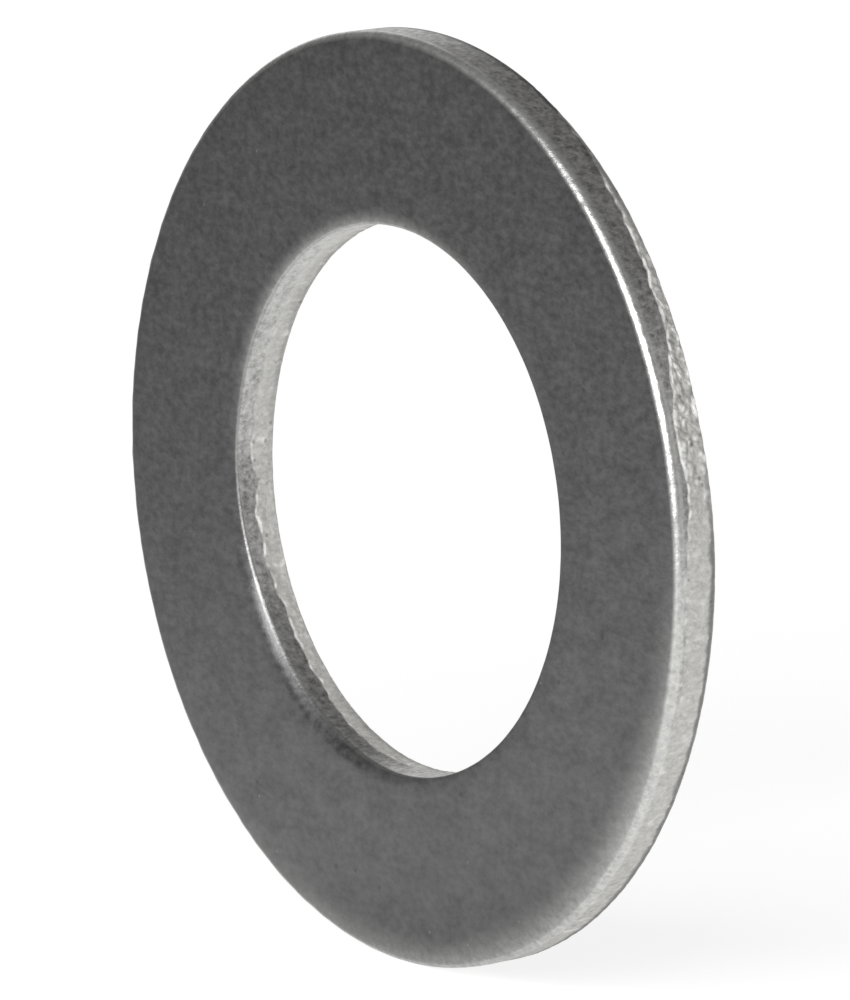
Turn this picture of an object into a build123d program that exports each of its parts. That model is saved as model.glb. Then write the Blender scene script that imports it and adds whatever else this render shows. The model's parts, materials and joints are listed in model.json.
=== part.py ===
from build123d import *

import math
import os

# Flat washer, cut in one stroke of a compound die from steel strip: a single solid ring.
#
# The ring stands on its rim. +Y runs along the bore axis from the front face to the back
# face, +Z is up, and the origin is on the bore axis at mid thickness. Sizes are in
# millimetres and degrees.
#
# The die drew the metal down as it cut, so the front edges of the rim and of the bore are
# rolled over. Behind each roll lies a smooth sheared land at full size, and behind the land
# the metal tore away on a slight taper, as far as the back edge, which tumbling has dulled.

# Overall sizes
OUTER_DIAMETER = 39.0
BORE_DIAMETER = 23.0
THICKNESS = 2.0

# Rim, from the front face to the back face
RIM_ROLL_WIDTH = 0.90
RIM_ROLL_DEPTH = 0.32
RIM_LAND = 0.45
RIM_TEAR_ANGLE = 3.0

# Bore, from the front face to the back face
BORE_ROLL_WIDTH = 0.60
BORE_ROLL_DEPTH = 0.30
BORE_LAND = 0.80
BORE_TEAR_ANGLE = 4.0

# Dulled back edges of the rim and of the bore
BACK_EDGE_BREAK = 0.06

# Where the two faces lie on the bore axis
FRONT = -THICKNESS / 2
BACK = THICKNESS / 2


def cut_edge(land_radius, into_metal, roll_width, roll_depth, land, tear_angle):
    """Section of one cut edge, in the plane of radius (X) and bore axis (Y).

    It runs from the front face over the roll, down the land and the torn taper to the back
    face. into_metal is -1 at the rim, where the metal lies inside land_radius, and +1 at the
    bore, where it lies outside. Returns the lines, and the radii where they meet the faces.
    """
    land_front = FRONT + roll_depth
    land_back = land_front + land
    break_front = BACK - BACK_EDGE_BREAK
    torn_away = (break_front - land_back) * math.tan(math.radians(tear_angle))

    front_radius = land_radius + into_metal * roll_width
    torn_radius = land_radius + into_metal * torn_away
    back_radius = torn_radius + into_metal * BACK_EDGE_BREAK

    # A quarter of an ellipse, flush with the face at one end and with the land at the other.
    roll = EllipticalCenterArc(
        center=(front_radius, land_front),
        x_radius=roll_width,
        y_radius=roll_depth,
        start_angle=270,
        arc_size=-90 * into_metal,
    )
    wall = Polyline(
        (land_radius, land_front),
        (land_radius, land_back),
        (torn_radius, break_front),
        (back_radius, BACK),
    )
    return [roll, wall], front_radius, back_radius


def washer():
    """The ring: one section of the metal, turned about the bore axis."""
    rim, rim_front, rim_back = cut_edge(
        OUTER_DIAMETER / 2, -1, RIM_ROLL_WIDTH, RIM_ROLL_DEPTH, RIM_LAND, RIM_TEAR_ANGLE
    )
    bore, bore_front, bore_back = cut_edge(
        BORE_DIAMETER / 2, 1, BORE_ROLL_WIDTH, BORE_ROLL_DEPTH, BORE_LAND, BORE_TEAR_ANGLE
    )
    front_face = Line((bore_front, FRONT), (rim_front, FRONT))
    back_face = Line((rim_back, BACK), (bore_back, BACK))
    section = make_face([front_face, *rim, back_face, *bore])
    return revolve(section, axis=Axis.Y)


os.makedirs("parts", exist_ok=True)
export_step(washer(), "parts/washer.step")
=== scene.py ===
import json
import math

import bpy
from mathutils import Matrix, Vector, noise


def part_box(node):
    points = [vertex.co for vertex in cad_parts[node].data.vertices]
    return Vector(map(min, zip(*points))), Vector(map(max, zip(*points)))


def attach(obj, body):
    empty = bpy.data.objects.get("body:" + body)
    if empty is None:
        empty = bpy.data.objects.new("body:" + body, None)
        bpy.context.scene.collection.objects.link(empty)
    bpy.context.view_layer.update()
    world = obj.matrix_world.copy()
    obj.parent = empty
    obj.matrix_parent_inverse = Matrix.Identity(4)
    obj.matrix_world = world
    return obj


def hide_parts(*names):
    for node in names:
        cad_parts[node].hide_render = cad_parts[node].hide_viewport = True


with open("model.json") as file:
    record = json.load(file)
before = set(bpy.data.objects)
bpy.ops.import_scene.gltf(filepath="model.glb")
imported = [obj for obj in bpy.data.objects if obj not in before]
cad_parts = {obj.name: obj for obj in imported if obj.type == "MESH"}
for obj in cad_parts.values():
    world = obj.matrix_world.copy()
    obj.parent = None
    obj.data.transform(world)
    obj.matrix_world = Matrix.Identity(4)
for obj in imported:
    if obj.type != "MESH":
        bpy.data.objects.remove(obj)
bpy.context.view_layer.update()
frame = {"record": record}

# ---------------------------------------------------------------------------------------
# The washer: one ring of mild steel, cut from strip in one stroke of a compound die. The
# die rolls the front edges over, shears a smooth land on the rim and in the bore, and tears
# the rest away as far as a ragged back edge, which barrel tumbling then dulls.
# ---------------------------------------------------------------------------------------

# Overall sizes in mm, from the frame.
MM = 0.001
low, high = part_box("washer")
outer_radius = min(-low[0], high[0], -low[2], high[2]) / MM
bore_radius = next(m for m in frame["record"]["mounts"] if m["name"] == "bore")["dims"]["r_mm"]
front_y = low[1] / MM
back_y = high[1] / MM

# Each cut edge, in mm and degrees, from the front. The face droops slightly to a round
# corner, which is polished, partly as a painted highlight, and the land ends at tear_y,
# where the torn metal begins. The two halves of the die weren't in line, so the land is
# off_by taller towards off_angle, but never ends short of least_y. Round drawn_angle, where
# the gap in the die was wide, the face is drawn down further, and painted shade darkens it.
# Round a second angle a painted highlight brightens the edge and the face next to it. Round
# torn_out_angle the metal broke away deeper and in crumbs. One more value sets how dark the
# painted shade is in front of the back edge.
rim_edge = {
    "droop_width": 1.50, "droop_drop": 0.040, "corner": 0.36, "polish": 1.0,
    "tear_y": 0.02, "off_by": 1.60, "off_angle": 116.0, "least_y": -0.45,
    "drawn_down": 0.42, "drawn_width": 1.70, "drawn_shade": 0.0,
    "drawn_angle": 300.0, "drawn_before": 25.0, "drawn_after": 60.0,
    "painted_highlight": 0.80, "highlight_wall": 0.0, "highlight_width": 1.70,
    "highlight_angle": 300.0, "highlight_spread": 80.0, "painted_shade": 0.70,
    "torn_out": 0.13, "torn_out_angle": 26.0, "torn_out_spread": 26.0, "crumbs": 1.0,
}
bore_edge = {
    "droop_width": 0.80, "droop_drop": 0.060, "corner": 0.14, "polish": 0.30,
    "tear_y": 0.10, "off_by": 0.22, "off_angle": 290.0, "least_y": -0.30,
    "drawn_down": 0.30, "drawn_width": 0.65, "drawn_shade": 0.55,
    "drawn_angle": 232.0, "drawn_before": 52.0, "drawn_after": 48.0,
    "painted_highlight": 0.80, "highlight_wall": 0.75, "highlight_width": 0.80,
    "highlight_angle": 114.0, "highlight_spread": 75.0, "painted_shade": 0.30,
    "torn_out": 0.05, "torn_out_angle": 205.0, "torn_out_spread": 45.0, "crumbs": 0.3,
}

BACK_CORNER = 0.05         # radius of the tumbled back edge
BACK_FADE = 0.40           # width of back face that follows the torn edge
# Rows of faces across each part of the section, and how many faces go round.
ROWS = {"droop": 7, "corner": 10, "wall": 25, "back_corner": 3, "fade": 3, "face": 4}
SEGMENTS = 940
# How fast the polish grows round the corner, up to full, and fades down the wall. On the
# corner it is tumbling wear; where it runs onto the wall it is a painted highlight.
CORNER_POLISH = 2.5
LAND_POLISH = 8.0


def cut_edge_section(radius, into_metal, edge):
    """Points of one cut edge, front face to back face, in mm.

    Each is (radius, y, follow, wall, and the share of polish and painted highlight). follow
    says how far it moves with the torn wall, signed as into_metal is: -1 on the rim, where
    metal lies inside the radius, and +1 in the bore. wall is 1 between the two corners, and
    grows and fades round them. The last is 1 where tumbling has polished a corner, and fades
    down the top of the wall as a painted highlight.
    """
    steepness = math.atan(2 * edge["droop_drop"] / edge["droop_width"])
    corner = edge["corner"]
    corner_width = corner * (1 - math.sin(steepness))
    wall_top = front_y + edge["droop_drop"] + corner * math.cos(steepness)
    wall_end = back_y - BACK_CORNER
    points = []

    def add_point(inside, y, follow=0.0, wall=0.0, wear_and_highlight=0.0):
        points.append((radius + into_metal * inside, y, into_metal * follow, wall, wear_and_highlight))

    for i in range(ROWS["droop"]):
        share = i / ROWS["droop"]
        inside = corner_width + edge["droop_width"] * (1 - share)
        add_point(inside, front_y + edge["droop_drop"] * share ** 2)
    for i in range(ROWS["corner"]):
        share = i / ROWS["corner"]
        turn = steepness + (math.pi / 2 - steepness) * share
        y = front_y + edge["droop_drop"] + corner * (math.cos(steepness) - math.cos(turn))
        polish = edge["polish"] * min(1.0, CORNER_POLISH * share)
        add_point(corner * (1 - math.sin(turn)), y, wall=max(0.0, 2 * share - 1), wear_and_highlight=polish)
    for i in range(ROWS["wall"]):
        share = i / ROWS["wall"]
        y = wall_top + (wall_end - wall_top) * share
        polish = edge["polish"] * max(0.0, 1 - LAND_POLISH * share)
        add_point(0.0, y, follow=1.0, wall=1.0, wear_and_highlight=polish)
    for i in range(ROWS["back_corner"]):
        share = i / ROWS["back_corner"]
        turn = math.pi / 2 * share
        y = wall_end + BACK_CORNER * math.sin(turn)
        add_point(BACK_CORNER * (1 - math.cos(turn)), y, follow=1.0, wall=1 - share)
    for i in range(ROWS["fade"] + 1):
        share = i / ROWS["fade"]
        add_point(BACK_CORNER + BACK_FADE * share, back_y, follow=1 - share)
    return points


def between(start, end, rows):
    """Evenly spaced points of a flat face, without its two ends."""
    return [
        tuple(a + (b - a) * i / (rows + 1) for a, b in zip(start, end))
        for i in range(1, rows + 1)
    ]


rim_points = cut_edge_section(outer_radius, -1, rim_edge)
bore_points = cut_edge_section(bore_radius, 1, bore_edge)[::-1]
section = (
    rim_points
    + between(rim_points[-1], bore_points[0], ROWS["face"])
    + bore_points
    + between(bore_points[-1], rim_points[0], ROWS["face"])
)

section_mesh = bpy.data.meshes.new("washer_section")
section_mesh.from_pydata(
    [(point[0], point[1], 0.0) for point in section],
    [(i, (i + 1) % len(section)) for i in range(len(section))],
    [],
)
for column, name in enumerate(("follow", "wall", "wear_and_highlight"), start=2):
    attribute = section_mesh.attributes.new(name, "FLOAT", "POINT")
    attribute.data.foreach_set("value", [point[column] for point in section])
section_object = bpy.data.objects.new("washer_section", section_mesh)
bpy.context.scene.collection.objects.link(section_object)


def add(tree, kind, inputs=None, output=0, **settings):
    """Adds a node and returns an output.

    inputs maps a socket's name or number to a value or to another node's output. On a Mix
    node, 0 is the share, and what it mixes are 2 and 3 for values, and 6 and 7 for colours.
    """
    node = tree.nodes.new(kind)
    for name, value in settings.items():
        setattr(node, name, value)
    for name, value in (inputs or {}).items():
        if isinstance(value, bpy.types.NodeSocket):
            tree.links.new(value, node.inputs[name])
        else:
            node.inputs[name].default_value = value
    return node.outputs[output]


def linear(hex_colour):
    """An sRGB hex colour as linear red, green, blue and alpha."""
    channels = [int(hex_colour[i : i + 2], 16) / 255 for i in (1, 3, 5)]
    return [c / 12.92 if c <= 0.04045 else ((c + 0.055) / 1.055) ** 2.4 for c in channels] + [1.0]


# Mild steel strip, cold rolled, stamped and barrel tumbled. The faces keep the mill's dull
# grey under a thin film of oil, mottled all over by the tumbling. Corners are polished, partly
# as a painted highlight, the sheared land is scored along the bore axis, and torn metal is
# pale, with painted highlights on its high points and its lip and painted shade in its
# hollows. Pits, dents, a band in front of the back edge and part of the drawn face are
# painted shade too.
FACE = ("#656565", "#818181")
LIGHT_SPECK = "#a8a8a8"
# The painted shade of pits, of the drawn face and of the band in front of the back edge.
DARK_SHADE = "#4c4c4c"
CORNER = "#e2e2df"
LAND = ("#888785", "#d9d8d6")
# Painted shade in hollows and dents.
HOLLOW_SHADE = "#6f6e6b"
TORN = ("#b6b5b1", "#d8d7d3")
# Painted highlight on high points, crumb tops and the lip.
HIGH_POINT_HIGHLIGHT = "#f4f3f0"

# How strongly the marks, the oil film and the painted shade of pits, dents and hollows show,
# from 0 to 1.
CLOUD_SHARE = 0.36
SPECK_COAT = 0.55
PIT_COAT = 0.40
DENT_COAT = 0.55
HOLLOW_COAT = 0.80
LEAST_POLISH = 0.55

# Waves per mm along X, Y and Z, then detail and roughness.
PATTERNS = {
    "mottle": ((2.1, 3.1, 3.1), 3.0, 0.60),      # tumbling marks, longer along X, as rolled
    "clouds": ((0.6, 0.9, 0.9), 2.0, 0.50),      # the oil film, uneven over a millimetre or two
    "scores": ((3.6, 2.6, 3.6), 4.0, 0.75),      # drawn out by the die, about 0.3 mm apart
    "grit": ((5.0, 3.5, 5.0), 4.0, 0.75),        # torn crystals, drawn coarser than they are
}
NOISE_RANGE = (0.34, 0.66)             # the middle part of a noise, spread over 0 to 1
# Marks per mm, their radius in mm, and the share of places that have one. Pits and dents
# are painted dark, as shade.
MARKS = {"speck": (0.80, 0.075, 0.22), "pit": (0.70, 0.150, 0.35), "dent": (1.90, 0.110, 0.40)}
MARK_CORE = 0.6                        # a mark is full over this much of its radius

# Relief of torn metal where the painted shade of a hollow or the painted highlight of a high
# point starts to show, and where it is full.
HOLLOW_RELIEF = (0.12, 0.60)
HIGH_RELIEF = (-0.08, -0.28)
CRUMB_TOP = (0.45, 0.15)               # the same for a crumb's top, in crumbs from its middle

FACE_ROUGHNESS = (0.38, 0.50)
LAND_ROUGHNESS = 0.40
TORN_ROUGHNESS = 0.52
CRUMB_ROUGHNESS = 0.36
CORNER_ROUGHNESS = 0.38
TORN_METALLIC = 0.4
HIGH_POINT_METALLIC = 0.1

# Heights of the fine relief and of a crumb's dome, in mm, and how strong the fine relief is
# on the faces, on torn metal and on polished corners.
FINE_RELIEF = 0.012
CRUMB_RELIEF = 0.12
FACE_BUMP, TORN_BUMP, CORNER_BUMP = 0.45, 0.8, 1.0


def tumbled_mild_steel():
    material = bpy.data.materials.new("tumbled_mild_steel")
    material.use_nodes = True
    tree = material.node_tree
    tree.nodes.clear()
    here = add(tree, "ShaderNodeTexCoord", output="Object")
    torn, wall, wear_and_highlight, relief, crumbled, painted_shade = (
        add(tree, "ShaderNodeAttribute", output="Fac", attribute_name=name)
        for name in ("torn", "wall", "wear_and_highlight", "relief", "crumbled", "painted_shade")
    )

    pattern = {}
    for name, (per_mm, detail, roughness) in PATTERNS.items():
        scale = [n / MM for n in per_mm]
        place = add(tree, "ShaderNodeMapping", {"Vector": here, "Scale": scale})
        settings = {"Vector": place, "Scale": 1.0, "Detail": detail, "Roughness": roughness}
        value = add(tree, "ShaderNodeTexNoise", settings)
        spread = {"Value": value, "From Min": NOISE_RANGE[0], "From Max": NOISE_RANGE[1]}
        pattern[name] = add(tree, "ShaderNodeMapRange", spread)
    for name, (per_mm, radius, share) in MARKS.items():
        settings = {"Vector": here, "Scale": per_mm / MM}
        cells = add(tree, "ShaderNodeTexVoronoi", settings, "Distance").node
        edge = {"From Min": radius * per_mm, "From Max": MARK_CORE * radius * per_mm}
        inside = add(tree, "ShaderNodeMapRange", {"Value": cells.outputs["Distance"], **edge})
        draw = add(tree, "ShaderNodeSeparateColor", {0: cells.outputs["Color"]})
        chosen = add(tree, "ShaderNodeMath", {0: draw, 1: share}, operation="LESS_THAN")
        pattern[name] = add(tree, "ShaderNodeMath", {0: inside, 1: chosen}, operation="MULTIPLY")

    # A crumb's top gets the painted highlight of a high point, and its own roughness.
    crumb_place = add(tree, "ShaderNodeAttribute", output="Vector", attribute_name="crumb_place")
    crumb = add(tree, "ShaderNodeTexVoronoi", {"Vector": crumb_place, "Scale": 1.0}, "Distance")
    top = {"Value": crumb, "From Min": CRUMB_TOP[0], "From Max": CRUMB_TOP[1]}
    crumb_top = add(tree, "ShaderNodeMapRange", top)
    crumb_top = add(tree, "ShaderNodeMath", {0: crumb_top, 1: crumbled}, operation="MULTIPLY")

    # Masks: where the painted shade of hollows, the painted highlights of high points, the polish
    # with its painted highlight, and the marks show.
    low_part = {"From Min": HOLLOW_RELIEF[0], "From Max": HOLLOW_RELIEF[1], "To Max": HOLLOW_COAT}
    hollow_shade = add(tree, "ShaderNodeMapRange", {"Value": relief, **low_part})
    high_part = {"From Min": HIGH_RELIEF[0], "From Max": HIGH_RELIEF[1]}
    high_point_highlight = add(tree, "ShaderNodeMapRange", {"Value": relief, **high_part})
    high_point_highlight = add(tree, "ShaderNodeMath", {0: high_point_highlight, 1: crumb_top}, operation="MAXIMUM")
    polish = {"Value": pattern["scores"], "To Min": LEAST_POLISH, "To Max": 1.0}
    polish_and_highlight_share = add(tree, "ShaderNodeMapRange", polish)
    polish_and_highlight_share = add(tree, "ShaderNodeMath", {0: wear_and_highlight, 1: polish_and_highlight_share}, operation="MULTIPLY")
    speck = add(tree, "ShaderNodeMath", {0: pattern["speck"], 1: SPECK_COAT}, operation="MULTIPLY")
    pit = add(tree, "ShaderNodeMath", {0: pattern["pit"], 1: PIT_COAT}, operation="MULTIPLY")
    dent = add(tree, "ShaderNodeMath", {0: pattern["dent"], 1: wall}, operation="MULTIPLY")
    dent = add(tree, "ShaderNodeMath", {0: dent, 1: DENT_COAT}, operation="MULTIPLY")

    # Colour: three steels, each mottled by its own pattern, then coats laid one over another,
    # some of them painted shade and painted highlights.
    face_tone = {0: CLOUD_SHARE, 2: pattern["mottle"], 3: pattern["clouds"]}
    face_tone = add(tree, "ShaderNodeMix", face_tone)
    colour, land, broken = (
        add(
            tree, "ShaderNodeMix", {0: tone, 6: linear(dark), 7: linear(light)}, 2,
            data_type="RGBA",
        )
        for tone, (dark, light) in (
            (face_tone, FACE), (pattern["scores"], LAND), (pattern["grit"], TORN),
        )
    )
    # Painted shade in the hollows of torn metal, and painted highlights on its high points.
    for mask, coat in ((hollow_shade, HOLLOW_SHADE), (high_point_highlight, HIGH_POINT_HIGHLIGHT)):
        laid = {0: mask, 6: broken, 7: linear(coat)}
        broken = add(tree, "ShaderNodeMix", laid, 2, data_type="RGBA")
    # Pits, dents and the dark band are painted shade; the polish is partly painted highlight.
    coats = (
        (speck, linear(LIGHT_SPECK)), (wall, land), (torn, broken), (pit, linear(DARK_SHADE)),
        (dent, linear(HOLLOW_SHADE)), (painted_shade, linear(DARK_SHADE)), (polish_and_highlight_share, linear(CORNER)),
    )
    for mask, coat in coats:
        colour = add(tree, "ShaderNodeMix", {0: mask, 6: colour, 7: coat}, 2, data_type="RGBA")

    # Roughness: dull faces, a smoother land, polished corners, matt torn metal.
    dull = {"Value": pattern["mottle"], "To Min": FACE_ROUGHNESS[0], "To Max": FACE_ROUGHNESS[1]}
    rough = add(tree, "ShaderNodeMapRange", dull)
    finishes = (
        (wall, LAND_ROUGHNESS), (torn, TORN_ROUGHNESS), (crumb_top, CRUMB_ROUGHNESS),
        (polish_and_highlight_share, CORNER_ROUGHNESS),
    )
    for mask, value in finishes:
        rough = add(tree, "ShaderNodeMix", {0: mask, 2: rough, 3: value})

    # Fine relief: the patterns of the faces, the land and torn metal, with domed crumbs.
    height = add(tree, "ShaderNodeMix", {0: wall, 2: pattern["mottle"], 3: pattern["scores"]})
    height = add(tree, "ShaderNodeMix", {0: torn, 2: height, 3: pattern["grit"]})
    strength = add(tree, "ShaderNodeMix", {0: torn, 2: FACE_BUMP, 3: TORN_BUMP})
    strength = add(tree, "ShaderNodeMix", {0: wear_and_highlight, 2: strength, 3: CORNER_BUMP})
    fine = {"Height": height, "Strength": strength, "Distance": FINE_RELIEF * MM}
    bump = add(tree, "ShaderNodeBump", fine)
    dome = {"Height": crumb, "Strength": crumbled, "Distance": -CRUMB_RELIEF * MM, "Normal": bump}
    bump = add(tree, "ShaderNodeBump", dome)

    # Loose torn crystals scatter light every way, nearly as a matt surface does, and most of
    # all on the high points.
    metallic = add(tree, "ShaderNodeMix", {0: torn, 2: 1.0, 3: TORN_METALLIC})
    loose = add(tree, "ShaderNodeMath", {0: torn, 1: high_point_highlight}, operation="MULTIPLY")
    metallic = add(tree, "ShaderNodeMix", {0: loose, 2: metallic, 3: HIGH_POINT_METALLIC})
    shader = add(
        tree, "ShaderNodeBsdfPrincipled",
        {"Base Color": colour, "Metallic": metallic, "Roughness": rough, "Normal": bump},
    )
    material_output = tree.nodes.new("ShaderNodeOutputMaterial")
    tree.links.new(shader, material_output.inputs["Surface"])
    return material


def ring_tree(material):
    """Sweeps the section round the bore axis."""
    tree = bpy.data.node_groups.new("stamped_ring", "GeometryNodeTree")
    tree.interface.new_socket("Section", in_out="INPUT", socket_type="NodeSocketGeometry")
    tree.interface.new_socket("Segments", in_out="INPUT", socket_type="NodeSocketInt")
    tree.interface.new_socket("Metres per unit", in_out="INPUT", socket_type="NodeSocketFloat")
    tree.interface.new_socket("Ring", in_out="OUTPUT", socket_type="NodeSocketGeometry")
    given = tree.nodes.new("NodeGroupInput").outputs

    # Each corner keeps its place in the section and its direction from the axis.
    position = add(tree, "GeometryNodeInputPosition")
    circle = {"Resolution": given["Segments"], "Radius": 1.0}
    curves = {
        "place": add(tree, "GeometryNodeMeshToCurve", {"Mesh": given["Section"]}),
        "direction": add(tree, "GeometryNodeCurvePrimitiveCircle", circle),
    }
    kept = {}
    for name, curve in curves.items():
        captured = {"Geometry": curve}
        capture = add(tree, "GeometryNodeCaptureAttribute", captured, domain="POINT").node
        capture.capture_items.new("VECTOR", name)
        tree.links.new(position, capture.inputs[name])
        curves[name] = capture.outputs["Geometry"]
        kept[name] = add(tree, "ShaderNodeSeparateXYZ", {0: capture.outputs[name]}).node.outputs
    path = {"Curve": curves["direction"], "Profile Curve": curves["place"]}
    swept = add(tree, "GeometryNodeCurveToMesh", path)
    radius, y = kept["place"][:2]
    x, z = (
        add(tree, "ShaderNodeMath", {0: radius, 1: kept["direction"][axis]}, operation="MULTIPLY")
        for axis in (0, 1)
    )
    turned = add(tree, "ShaderNodeCombineXYZ", {0: x, 1: y, 2: z})
    resized = {0: turned, "Scale": given["Metres per unit"]}
    turned = add(tree, "ShaderNodeVectorMath", resized, operation="SCALE")
    geometry = add(tree, "GeometryNodeSetPosition", {"Geometry": swept, "Position": turned})
    geometry = add(tree, "GeometryNodeSetShadeSmooth", {"Geometry": geometry})
    geometry = add(tree, "GeometryNodeRealizeInstances", {"Geometry": geometry})
    finish = {"Geometry": geometry, "Material": material}
    geometry = add(tree, "GeometryNodeSetMaterial", finish)
    group_output = tree.nodes.new("NodeGroupOutput")
    tree.links.new(geometry, group_output.inputs["Ring"])
    return tree


sweep_inputs = {"Segments": SEGMENTS, "Metres per unit": MM}
sweep = section_object.modifiers.new("stamped_ring", "NODES")
sweep.node_group = ring_tree(tumbled_mild_steel())
for item in sweep.node_group.interface.items_tree:
    if item.name in sweep_inputs:
        sweep[item.identifier] = sweep_inputs[item.name]

depsgraph = bpy.context.evaluated_depsgraph_get()
ring_mesh = bpy.data.meshes.new_from_object(section_object.evaluated_get(depsgraph))
ring_mesh.name = "washer_ring"
ring = bpy.data.objects.new("washer_ring", ring_mesh)
bpy.context.scene.collection.objects.link(ring)
bpy.data.objects.remove(section_object)

# How the metal tears, in mm. The waves are counted per mm.
SEED = Vector((37.0, 11.0, 5.0))
CRUMB_SEED = 11            # draws the noise that warps the crumbs, the same on each run
noise.seed_set(CRUMB_SEED)
TEAR_WANDER = 0.34         # the tear line strays about this far as it goes round
WANDER_WAVES = ((1.0, 0.22), (0.5, 0.8), (0.3, 2.4))       # share and waves of each noise
TEAR_EDGE = (-0.03, 0.05)  # round the tear line, the land gives way between these
TEAR_LIP = 0.010           # step where the land ends
TEAR_SLOPE = math.tan(math.radians(0.7))
TEAR_GRAIN = 0.022         # depth of the grain of torn metal
GRAIN_WAVES = ((0.7, 1.9), (0.6, 4.2))
GRAIN_DRAW = 0.5           # the die drew the grain out along the bore axis
GRAIN_RELIEF = 0.30        # how far the grain makes painted shade in hollows and painted highlights on high points
BREAK_WIDTH = 0.8          # a broken-away stretch reaches its full depth this far back
LIP_WIDTH = (0.08, 0.22)   # past the tear line, the lip's painted highlight fades between these
LIP_RELIEF = 0.08          # how strong the lip's painted highlight is, and how much more where it crumbled
CRUMBLED_LIP = 0.45
LIP_STEADY = 0.9           # the even share of that strength, and the share that comes and goes
LIP_UNEVEN = 1.2
LIP_WAVES = 3.0
CRUMB = 0.40               # size of the crumbs where metal broke away
CRUMB_DEPTH = 0.10         # depth of the gaps between crumbs
CRUMB_MIDDLE = 0.50        # it gets the painted highlight within this many crumbs of its middle
CRUMB_WARP = 0.45          # how far from round they are, in crumbs
WARP_WAVES = 2.2
SHADE_BAND_WIDTH = 0.182        # the painted shade in front of the back edge covers about this much of the wall
SHADE_BAND_LEAST = 0.026        # and to no less than this
SHADE_BAND_WAVES = ((0.234, 1.1), (0.13, 4.0))
SHADE_BAND_FULL = 0.16          # it is darkest this far in front of the back edge
SHADE_BAND_LIFT = 0.12          # and eases from here to the back edge, as a painted highlight, by the share below
SHADE_BAND_HIGHLIGHT = 0.6
FACE_WAVE = 0.015          # the faces are never quite flat
FACE_WAVES = 0.13
CORNER_WAVE = 0.030        # nor do the polished corners run quite true
CORNER_WAVES = 1.4
PAINTED_LIGHT_END = (0.1, 0.6)       # painted highlight and shade end between these shares of the back half
NEAR_FADE = 0.8            # nearness falls off over this outer share of its spread


def smooth_step(value, start, end):
    """0 up to start, 1 from end on, and smooth between them."""
    share = min(1.0, max(0.0, (value - start) / (end - start)))
    return share * share * (3 - 2 * share)


def noises(place, waves):
    """Noises at a place, added up by their shares."""
    return sum(share * noise.noise(place * per_mm) for share, per_mm in waves)


def nearness(angle, centre, before, after):
    """1 round a centre, all in degrees, falling to 0 at before and after it."""
    off_centre = (angle - centre + 180.0) % 360.0 - 180.0
    return smooth_step(1 - abs(off_centre) / (after if off_centre > 0 else before), 0.0, NEAR_FADE)


def near_back_edge(y, around):
    """How much painted shade the wall gets at a height, from 0 to 1."""
    width = max(SHADE_BAND_LEAST, SHADE_BAND_WIDTH + noises(around, SHADE_BAND_WAVES))
    full = back_y - SHADE_BAND_FULL
    painted_highlight = SHADE_BAND_HIGHLIGHT * smooth_step(y, back_y - SHADE_BAND_LIFT, back_y)
    return smooth_step(y, full - width, full) * (1 - painted_highlight)


def torn_wall(place, edge):
    """How deep the wall is torn at a place, in mm, the place in the pattern of crumbs, and
    what the steel reads there, among it the relief that sets painted shade in hollows and
    painted highlights on high points, and the painted shade in front of the back edge. Of
    that, relief is below 0 on high points."""
    angle = math.degrees(math.atan2(place.z, place.x))
    around = Vector((place.x, 0.0, place.z)) + SEED
    spread = edge["torn_out_spread"]
    torn_out = nearness(angle, edge["torn_out_angle"], spread, spread)
    crumbled = torn_out * edge["crumbs"]

    line = edge["tear_y"] + edge["off_by"] * math.cos(math.radians(angle - edge["off_angle"]))
    line = max(line, edge["least_y"]) + TEAR_WANDER * noises(around, WANDER_WAVES)
    past = place.y - line
    torn = smooth_step(past, *TEAR_EDGE)

    drawn = Vector((place.x, GRAIN_DRAW * place.y, place.z)) + SEED
    grain = noises(drawn, GRAIN_WAVES)
    crumb_place = place / CRUMB + CRUMB_WARP * noise.noise_vector(place * WARP_WAVES)
    crumb = min(1.0, noise.voronoi(crumb_place)[0][0])
    broken = smooth_step(past, 0.0, BREAK_WIDTH)
    depth = TEAR_LIP + TEAR_SLOPE * max(past, 0.0) + TEAR_GRAIN * (0.5 + grain)
    depth += broken * (torn_out * edge["torn_out"] + crumbled * CRUMB_DEPTH * (crumb - 0.5))

    # A painted highlight along the lip where the land ends.
    lip_highlight = torn * (1 - smooth_step(past, *LIP_WIDTH)) * (LIP_RELIEF + CRUMBLED_LIP * crumbled)
    lip_highlight *= LIP_STEADY + LIP_UNEVEN * noise.noise(around * LIP_WAVES)
    relief = GRAIN_RELIEF * (1 - crumbled) * grain + crumbled * (crumb - CRUMB_MIDDLE) - lip_highlight
    # A band of painted shade in front of the back edge.
    painted_shade = edge["painted_shade"] * (1 - torn_out) * near_back_edge(place.y, around)
    read = {"torn": torn, "relief": relief, "crumbled": torn * crumbled, "painted_shade": painted_shade}
    return torn * max(depth, 0.0), crumb_place, read


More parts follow.
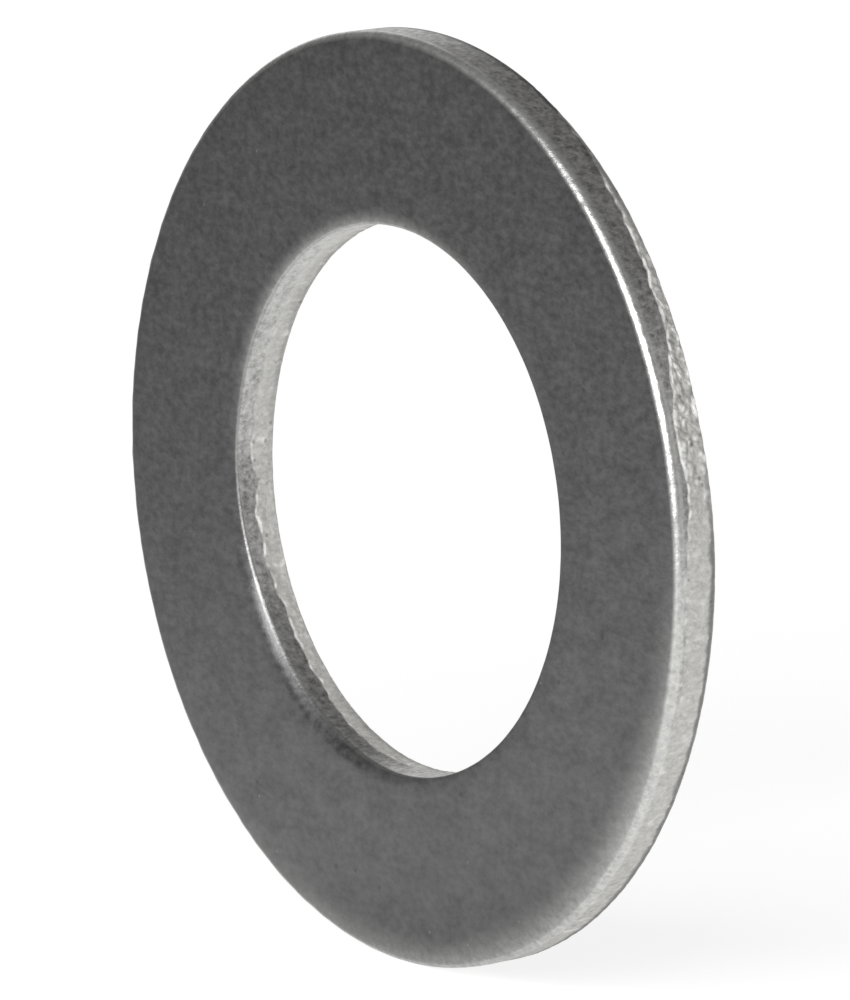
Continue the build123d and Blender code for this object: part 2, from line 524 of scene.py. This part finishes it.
def face_edge(place, radius, wall):
    """What the die did to a place at the front: how far it drew the place down, in mm, and
    how much painted highlight and painted shade it gets there, both from 0 to 1."""
    on_rim = radius > (outer_radius + bore_radius) / 2
    edge = rim_edge if on_rim else bore_edge
    from_wall = max(0.0, outer_radius - radius if on_rim else radius - bore_radius)
    angle = math.degrees(math.atan2(place.z, place.x))
    drawn = nearness(angle, edge["drawn_angle"], edge["drawn_before"], edge["drawn_after"])
    drawn *= max(0.0, 1 - from_wall / edge["drawn_width"]) ** 2
    down = drawn * edge["drawn_down"] * (back_y - place.y) / (back_y - front_y)

    # A painted highlight round one angle of each edge: on the face near the edge and, in the bore,
    # on the wall too.
    painted_highlight = nearness(angle, edge["highlight_angle"], edge["highlight_spread"], edge["highlight_spread"])
    if wall == 1.0:
        painted_highlight *= edge["highlight_wall"]
    else:
        painted_highlight *= edge["painted_highlight"] * max(0.0, 1 - from_wall / edge["highlight_width"]) ** 2
    in_front = 1 - smooth_step(place.y / back_y, *PAINTED_LIGHT_END)
    # The last value is painted shade on the drawn face next to the edge.
    return down, painted_highlight * in_front, drawn * edge["drawn_shade"] * (1 - wall) * in_front


for name in ("torn", "relief", "crumbled", "painted_shade"):
    ring_mesh.attributes.new(name, "FLOAT", "POINT")
ring_mesh.attributes.new("crumb_place", "FLOAT_VECTOR", "POINT")
stored = {attribute.name: attribute.data for attribute in ring_mesh.attributes}
for i, vertex in enumerate(ring_mesh.vertices):
    place = vertex.co / MM
    radius = math.hypot(place.x, place.z)
    wall = stored["wall"][i].value
    down, painted_highlight, drawn_shade_share = face_edge(place, radius, wall)
    # The polish, or the painted highlight of the die's edge where that is stronger.
    wear_and_highlight = max(stored["wear_and_highlight"][i].value, painted_highlight)
    stored["wear_and_highlight"][i].value = wear_and_highlight
    place.y += down
    place.y += CORNER_WAVE * wear_and_highlight * noise.noise(place * CORNER_WAVES + SEED)
    follow = stored["follow"][i].value
    if follow != 0.0:
        depth, crumb_place, read = torn_wall(place, bore_edge if follow > 0 else rim_edge)
        stored["crumb_place"][i].vector = crumb_place
        moved = radius + follow * depth
        place.x, place.z = place.x * moved / radius, place.z * moved / radius
        for name, value in read.items():
            stored[name][i].value = value * wall
    # The painted shade: the drawn face round part of the bore, and the band in front of the back
    # edge.
    stored["painted_shade"][i].value = max(drawn_shade_share, stored["painted_shade"][i].value)
    # Only the two faces wave, so it dies out fast towards mid thickness.
    on_face = abs(place.y / back_y) ** 4
    place.y *= 1 - FACE_WAVE * on_face * abs(noise.noise(place * FACE_WAVES + SEED))
    vertex.co = place * MM

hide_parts("washer")
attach(ring, "root")

# ---------------------------------------------------------------------------------------
# The floor: white paper, laid flat, far wider than the washer. A pool of light on it, to
# the right, dims with distance and where the washer stands, and the washer mirrors it. To
# the camera the paper is white, and wholly so far off, where it meets the room.
# ---------------------------------------------------------------------------------------

# Places in metres. The light runs from 0, none, to 1, white. The paper's own colour is
# dark, because the pool's light is added to what it returns of the softboxes.
FLOOR_HALF = 40.0
PAPER = "#898989"
WHITE = "#ffffff"
POOL_CENTRE = (0.040, 0.0)
POOL_NEAR, POOL_BRIGHT = 0.050, 0.76
POOL_FAR, POOL_DIM = 0.170, 0.20
FOOT_NEAR, FOOT_SHADE = 0.004, 0.60
FOOT_FAR = 0.020
BACKDROP_NEAR, BACKDROP = 0.15, 0.84
BACKDROP_FAR, FAR_BACKDROP = 0.60, 1.0

floor_mesh = bpy.data.meshes.new("floor")
floor_mesh.from_pydata(
    [(x * FLOOR_HALF, y * FLOOR_HALF, low[2]) for x, y in ((-1, -1), (1, -1), (1, 1), (-1, 1))],
    [],
    [(0, 1, 2, 3)],
)
floor = bpy.data.objects.new("floor", floor_mesh)
bpy.context.scene.collection.objects.link(floor)
paper = bpy.data.materials.new("white_paper")
paper.use_nodes = True
tree = paper.node_tree
tree.nodes.clear()
spot = add(tree, "ShaderNodeTexCoord", output="Object")
centre = (*POOL_CENTRE, low[2])
distance = add(tree, "ShaderNodeVectorMath", {0: spot, 1: centre}, "Value", operation="DISTANCE")
pool = {"From Min": POOL_NEAR, "From Max": POOL_FAR, "To Min": POOL_BRIGHT, "To Max": POOL_DIM}
glow = add(tree, "ShaderNodeMapRange", {"Value": distance, **pool}, interpolation_type="SMOOTHSTEP")
from_foot = {0: spot, 1: (0.0, 0.0, low[2])}
foot = add(tree, "ShaderNodeVectorMath", from_foot, "Value", operation="DISTANCE")
shade = {"From Min": FOOT_NEAR, "From Max": FOOT_FAR, "To Min": FOOT_SHADE}
shade = add(tree, "ShaderNodeMapRange", {"Value": foot, **shade})
glow = add(tree, "ShaderNodeMath", {0: glow, 1: shade}, operation="MULTIPLY")
straight = add(tree, "ShaderNodeLightPath", output="Is Camera Ray")
fade = {"From Min": BACKDROP_NEAR, "From Max": BACKDROP_FAR}
fade.update({"To Min": BACKDROP, "To Max": FAR_BACKDROP})
backdrop = add(tree, "ShaderNodeMapRange", {"Value": foot, **fade})
glow = add(tree, "ShaderNodeMix", {0: straight, 2: glow, 3: backdrop})
shader = add(
    tree, "ShaderNodeBsdfPrincipled",
    {
        "Base Color": linear(PAPER), "Roughness": 0.9, "Specular IOR Level": 0.0,
        "Emission Color": linear(WHITE), "Emission Strength": glow,
    },
)
tree.links.new(shader, tree.nodes.new("ShaderNodeOutputMaterial").inputs["Surface"])
floor_mesh.materials.append(paper)

# ---------------------------------------------------------------------------------------
# The light: a dim grey room, which the camera sees as white, a large softbox in front to
# the right, and weaker ones behind to the left and to the right.
# ---------------------------------------------------------------------------------------

# Brightness of the room as the washer sees it, and as the camera does.
ROOM = 0.21
HORIZON = 1.0

world = bpy.data.worlds.new("grey_room")
bpy.context.scene.world = world
world.use_nodes = True
tree = world.node_tree
tree.nodes.clear()
straight = add(tree, "ShaderNodeLightPath", output="Is Camera Ray")
air_glow = add(tree, "ShaderNodeMix", {0: straight, 2: ROOM, 3: HORIZON})
air = add(tree, "ShaderNodeBackground", {"Color": linear(WHITE), "Strength": air_glow})
tree.links.new(air, tree.nodes.new("ShaderNodeOutputWorld").inputs["Surface"])


def seen_from(azimuth, elevation):
    """The direction that a view from this azimuth and elevation, in degrees, comes from."""
    a, e = math.radians(azimuth), math.radians(elevation)
    return Vector((math.sin(a) * math.cos(e), -math.cos(a) * math.cos(e), math.sin(e)))


def softbox(name, azimuth, elevation, distance, size, brightness):
    """A rectangular light that faces the washer, its size and distance in metres.
    brightness is what a camera would see."""
    width, height = size
    light = bpy.data.lights.new(name, "AREA")
    light.shape = "RECTANGLE"
    light.size, light.size_y = width, height
    light.energy = brightness * math.pi * width * height
    lamp = bpy.data.objects.new(name, light)
    towards = seen_from(azimuth, elevation)
    lamp.location = towards * distance
    lamp.rotation_euler = towards.to_track_quat("Z", "Y").to_euler()
    lamp.visible_camera = False
    bpy.context.scene.collection.objects.link(lamp)


softbox(
    "front_softbox", azimuth=26.0, elevation=28.0, distance=1.6, size=(1.3, 0.8), brightness=9.5
)
softbox(
    "back_left_softbox", azimuth=-124.0, elevation=12.0, distance=2.0, size=(1.6, 0.7),
    brightness=1.0,
)
softbox(
    "back_right_softbox", azimuth=128.0, elevation=20.0, distance=2.0, size=(1.4, 1.0),
    brightness=0.45,
)

# ---------------------------------------------------------------------------------------
# The camera: a long lens in front of the washer, to the right and a little above, with its
# distance and its offsets in mm.
# ---------------------------------------------------------------------------------------

CAMERA_AZIMUTH = 54.39
CAMERA_ELEVATION = 11.54
CAMERA_DISTANCE = 490.39
CAMERA_RIGHT = 0.488
CAMERA_UP = -0.047
LENS = 426.9
SENSOR = 36.0

back = seen_from(CAMERA_AZIMUTH, CAMERA_ELEVATION)
right = Vector((0, 0, 1)).cross(back).normalized()
up = back.cross(right)
camera_data = bpy.data.cameras.new("camera")
camera_data.lens = LENS
camera_data.sensor_width = SENSOR
camera = bpy.data.objects.new("camera", camera_data)
camera.location = (back * CAMERA_DISTANCE + right * CAMERA_RIGHT + up * CAMERA_UP) * MM
camera.rotation_euler = back.to_track_quat("Z", "Y").to_euler()
bpy.context.scene.collection.objects.link(camera)
bpy.context.scene.camera = camera
bpy.context.scene.view_settings.view_transform = "Standard"
